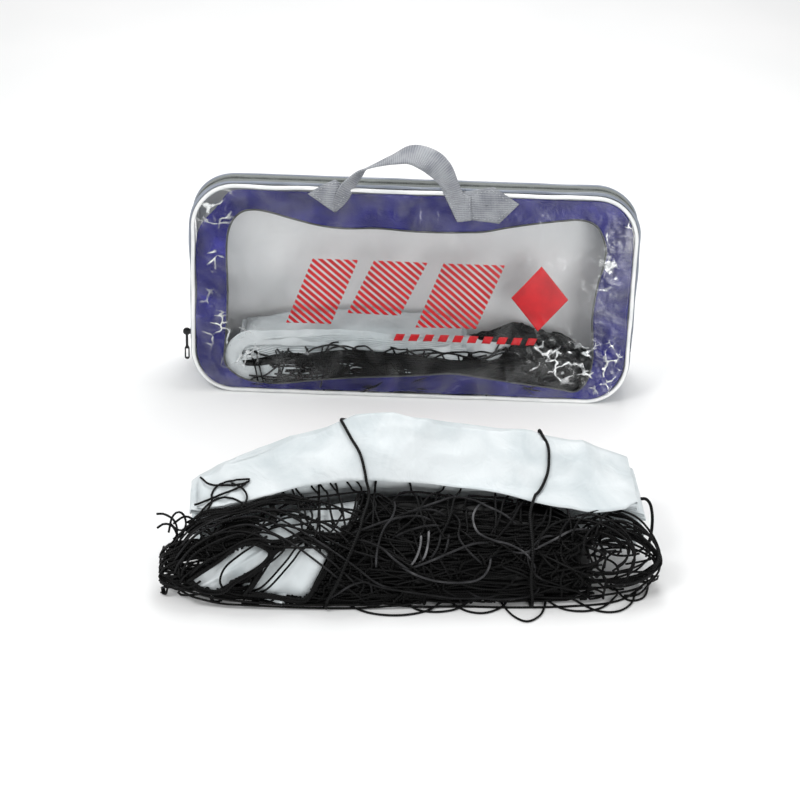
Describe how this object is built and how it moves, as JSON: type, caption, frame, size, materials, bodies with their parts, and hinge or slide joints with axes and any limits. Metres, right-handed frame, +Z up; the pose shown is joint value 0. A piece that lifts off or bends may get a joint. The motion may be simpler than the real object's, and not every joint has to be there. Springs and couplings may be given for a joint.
{
  "type": "volleyball net with carry bag",
  "caption": "Folded volleyball net with white header tape, tied with cords, beside a zipped clear-fronted carry bag with a webbing handle and a second folded net inside",
  "frame": {"origin": "middle of the bag's flat base, on the floor", "axes": "+Z up, +X to the right seen from the net's side, +Y from the loose net towards the bag"},
  "size_m": [0.4636, 0.4305, 0.2564],
  "materials": {
    "navy_vinyl": "glossy navy vinyl sheet",
    "pale_vinyl": "pale grey frosted vinyl sheet",
    "clear_film": "clear soft vinyl film, slightly grey",
    "weld_grey": "dark grey heat-weld line",
    "red_print": "red screen-print ink",
    "white_piping": "white plastic piping",
    "grey_vinyl": "grey-blue vinyl strip",
    "zip_tape": "grey woven zip tape",
    "zip_teeth": "grey nylon coil",
    "zip_metal": "black enamelled metal",
    "grey_webbing": "grey polypropylene webbing",
    "white_tape": "white coated canvas tape",
    "black_netting": "black polyethylene twine",
    "black_cord": "black cord"
  },
  "bodies": {
    "bag": {"front_frame": "navy_vinyl", "window_pane": "clear_film", "window_weld": "weld_grey", "print_bar_1": "red_print", "print_bar_2": "red_print", "print_bar_3": "red_print", "print_diamond": "red_print", "front_piping": "white_piping", "gusset_front": "grey_vinyl", "gusset_base": "grey_vinyl", "zipper_tape_front": "zip_tape", "zipper_teeth_front": "zip_teeth", "zip_stop_left": "zip_metal", "zip_stop_right": "zip_metal", "handle_anchor_left": "grey_webbing", "handle_anchor_right": "grey_webbing", "packed_tape": "white_tape", "packed_netting": "black_netting"},
    "bag_back": {"back_panel": "pale_vinyl", "back_piping": "white_piping", "gusset_back": "grey_vinyl", "zipper_tape_back": "zip_tape", "zipper_teeth_back": "zip_teeth"},
    "handle": {"handle_strap": "grey_webbing"},
    "slider": {"zip_slider": "zip_metal"},
    "puller": {"zip_puller": "zip_metal"},
    "net": {"header_tape": "white_tape", "side_band": "white_tape", "netting_core": "black_netting", "netting_mesh": "black_netting", "tie_left": "black_cord", "tie_right": "black_cord", "head_rope_tail": "black_cord"}
  },
  "joints": [
    {"name": "bag_open", "type": "hinge", "parent": "bag", "child": "bag_back", "pos_m": [0, 0.0415, 0], "axis": [-1, 0, 0], "range_deg": [0, 90]},
    {"name": "handle_swing", "type": "hinge", "parent": "bag", "child": "handle", "pos_m": [0, 0.0095, 0.221], "axis": [1, 0, 0], "range_deg": [-70, 80]},
    {"name": "zip_slide", "type": "slide", "parent": "bag", "child": "slider", "axis": [0, 0.1629, 0.9866], "range_m": [0, 0.11]},
    {"name": "puller_swing", "type": "hinge", "parent": "slider", "child": "puller", "pos_m": [-0.2329, -0.00208, 0.048], "axis": [0, 0.9866, -0.1629], "range_deg": [0, 150]},
    {"name": "net_lift", "type": "slide", "parent": "bag", "child": "net", "axis": [0, 0, 1], "range_m": [0, 0.3]}
  ]
}
